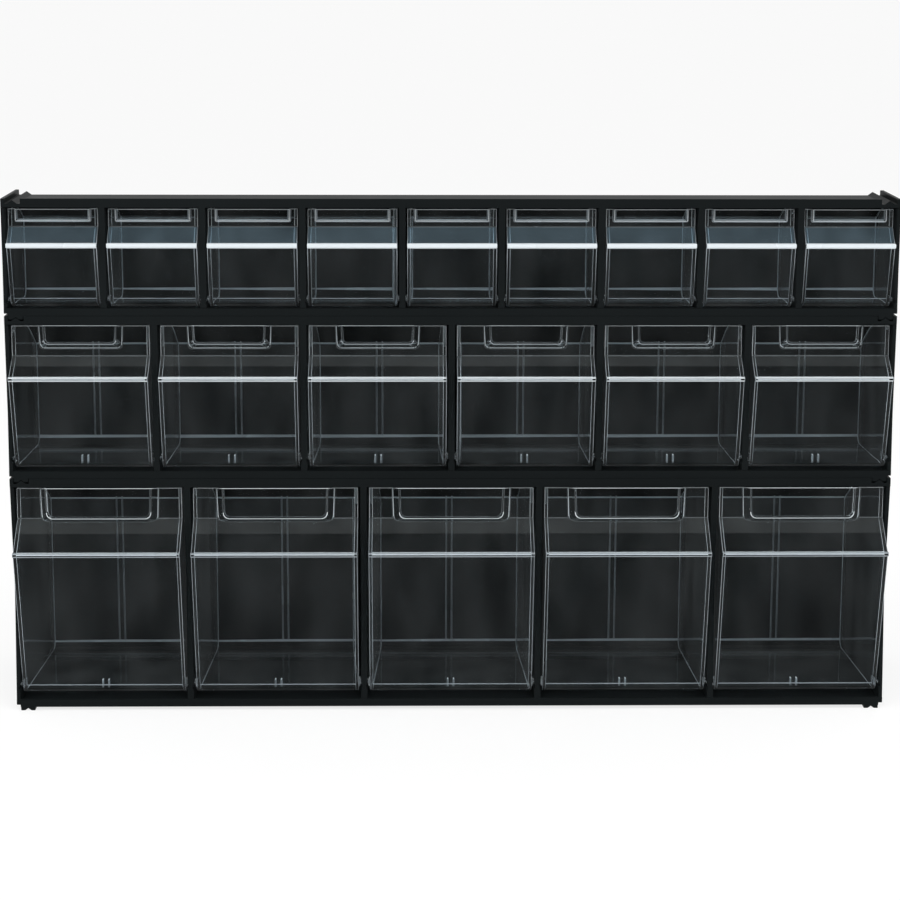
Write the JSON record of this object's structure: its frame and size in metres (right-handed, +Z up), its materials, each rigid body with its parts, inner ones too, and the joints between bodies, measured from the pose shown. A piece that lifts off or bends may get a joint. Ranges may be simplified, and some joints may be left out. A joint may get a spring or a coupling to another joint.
{
  "type": "tilt bin organizer",
  "caption": "Stacked black plastic housings with rows of clear bins that tilt out at the front, for sorting small parts.",
  "frame": {"origin": "under the middle of the whole part, on the surface that it stands on", "axes": "+X to the right along the rows, +Y to the back, +Z up"},
  "size_m": [0.6, 0.145, 0.3554],
  "materials": {
    "black_plastic": "black moulded plastic, satin",
    "clear_plastic": "clear moulded plastic, polished"
  },
  "bodies": {
    "housing": {"housing_top": "black_plastic", "housing_middle": "black_plastic", "housing_bottom": "black_plastic"},
    "small_bin_1": {"small_bin_1": "clear_plastic"},
    "small_bin_2": {"small_bin_2": "clear_plastic"},
    "small_bin_3": {"small_bin_3": "clear_plastic"},
    "small_bin_4": {"small_bin_4": "clear_plastic"},
    "small_bin_5": {"small_bin_5": "clear_plastic"},
    "small_bin_6": {"small_bin_6": "clear_plastic"},
    "small_bin_7": {"small_bin_7": "clear_plastic"},
    "small_bin_8": {"small_bin_8": "clear_plastic"},
    "small_bin_9": {"small_bin_9": "clear_plastic"},
    "medium_bin_1": {"medium_bin_1": "clear_plastic"},
    "medium_bin_2": {"medium_bin_2": "clear_plastic"},
    "medium_bin_3": {"medium_bin_3": "clear_plastic"},
    "medium_bin_4": {"medium_bin_4": "clear_plastic"},
    "medium_bin_5": {"medium_bin_5": "clear_plastic"},
    "medium_bin_6": {"medium_bin_6": "clear_plastic"},
    "large_bin_1": {"large_bin_1": "clear_plastic"},
    "large_bin_2": {"large_bin_2": "clear_plastic"},
    "large_bin_3": {"large_bin_3": "clear_plastic"},
    "large_bin_4": {"large_bin_4": "clear_plastic"},
    "large_bin_5": {"large_bin_5": "clear_plastic"}
  },
  "joints": [
    {"name": "small_bin_1_tilt", "type": "hinge", "parent": "housing", "child": "small_bin_1", "pos_m": [-0.26667, -0.0395, 0.2864], "axis": [1, 0, 0], "range_deg": [0, 35]},
    {"name": "small_bin_2_tilt", "type": "hinge", "parent": "housing", "child": "small_bin_2", "pos_m": [-0.2, -0.0395, 0.2864], "axis": [1, 0, 0], "range_deg": [0, 35]},
    {"name": "small_bin_3_tilt", "type": "hinge", "parent": "housing", "child": "small_bin_3", "pos_m": [-0.13333, -0.0395, 0.2864], "axis": [1, 0, 0], "range_deg": [0, 35]},
    {"name": "small_bin_4_tilt", "type": "hinge", "parent": "housing", "child": "small_bin_4", "pos_m": [-0.06667, -0.0395, 0.2864], "axis": [1, 0, 0], "range_deg": [0, 35]},
    {"name": "small_bin_5_tilt", "type": "hinge", "parent": "housing", "child": "small_bin_5", "pos_m": [0, -0.0395, 0.2864], "axis": [1, 0, 0], "range_deg": [0, 35]},
    {"name": "small_bin_6_tilt", "type": "hinge", "parent": "housing", "child": "small_bin_6", "pos_m": [0.06667, -0.0395, 0.2864], "axis": [1, 0, 0], "range_deg": [0, 35]},
    {"name": "small_bin_7_tilt", "type": "hinge", "parent": "housing", "child": "small_bin_7", "pos_m": [0.13333, -0.0395, 0.2864], "axis": [1, 0, 0], "range_deg": [0, 35]},
    {"name": "small_bin_8_tilt", "type": "hinge", "parent": "housing", "child": "small_bin_8", "pos_m": [0.2, -0.0395, 0.2864], "axis": [1, 0, 0], "range_deg": [0, 35]},
    {"name": "small_bin_9_tilt", "type": "hinge", "parent": "housing", "child": "small_bin_9", "pos_m": [0.26667, -0.0395, 0.2864], "axis": [1, 0, 0], "range_deg": [0, 35]},
    {"name": "medium_bin_1_tilt", "type": "hinge", "parent": "housing", "child": "medium_bin_1", "pos_m": [-0.25, -0.0415, 0.1774], "axis": [1, 0, 0], "range_deg": [0, 35]},
    {"name": "medium_bin_2_tilt", "type": "hinge", "parent": "housing", "child": "medium_bin_2", "pos_m": [-0.15, -0.0415, 0.1774], "axis": [1, 0, 0], "range_deg": [0, 35]},
    {"name": "medium_bin_3_tilt", "type": "hinge", "parent": "housing", "child": "medium_bin_3", "pos_m": [-0.05, -0.0415, 0.1774], "axis": [1, 0, 0], "range_deg": [0, 35]},
    {"name": "medium_bin_4_tilt", "type": "hinge", "parent": "housing", "child": "medium_bin_4", "pos_m": [0.05, -0.0415, 0.1774], "axis": [1, 0, 0], "range_deg": [0, 35]},
    {"name": "medium_bin_5_tilt", "type": "hinge", "parent": "housing", "child": "medium_bin_5", "pos_m": [0.15, -0.0415, 0.1774], "axis": [1, 0, 0], "range_deg": [0, 35]},
    {"name": "medium_bin_6_tilt", "type": "hinge", "parent": "housing", "child": "medium_bin_6", "pos_m": [0.25, -0.0415, 0.1774], "axis": [1, 0, 0], "range_deg": [0, 35]},
    {"name": "large_bin_1_tilt", "type": "hinge", "parent": "housing", "child": "large_bin_1", "pos_m": [-0.24, -0.0405, 0.0164], "axis": [1, 0, 0], "range_deg": [0, 35]},
    {"name": "large_bin_2_tilt", "type": "hinge", "parent": "housing", "child": "large_bin_2", "pos_m": [-0.12, -0.0405, 0.0164], "axis": [1, 0, 0], "range_deg": [0, 35]},
    {"name": "large_bin_3_tilt", "type": "hinge", "parent": "housing", "child": "large_bin_3", "pos_m": [0, -0.0405, 0.0164], "axis": [1, 0, 0], "range_deg": [0, 35]},
    {"name": "large_bin_4_tilt", "type": "hinge", "parent": "housing", "child": "large_bin_4", "pos_m": [0.12, -0.0405, 0.0164], "axis": [1, 0, 0], "range_deg": [0, 35]},
    {"name": "large_bin_5_tilt", "type": "hinge", "parent": "housing", "child": "large_bin_5", "pos_m": [0.24, -0.0405, 0.0164], "axis": [1, 0, 0], "range_deg": [0, 35]}
  ]
}
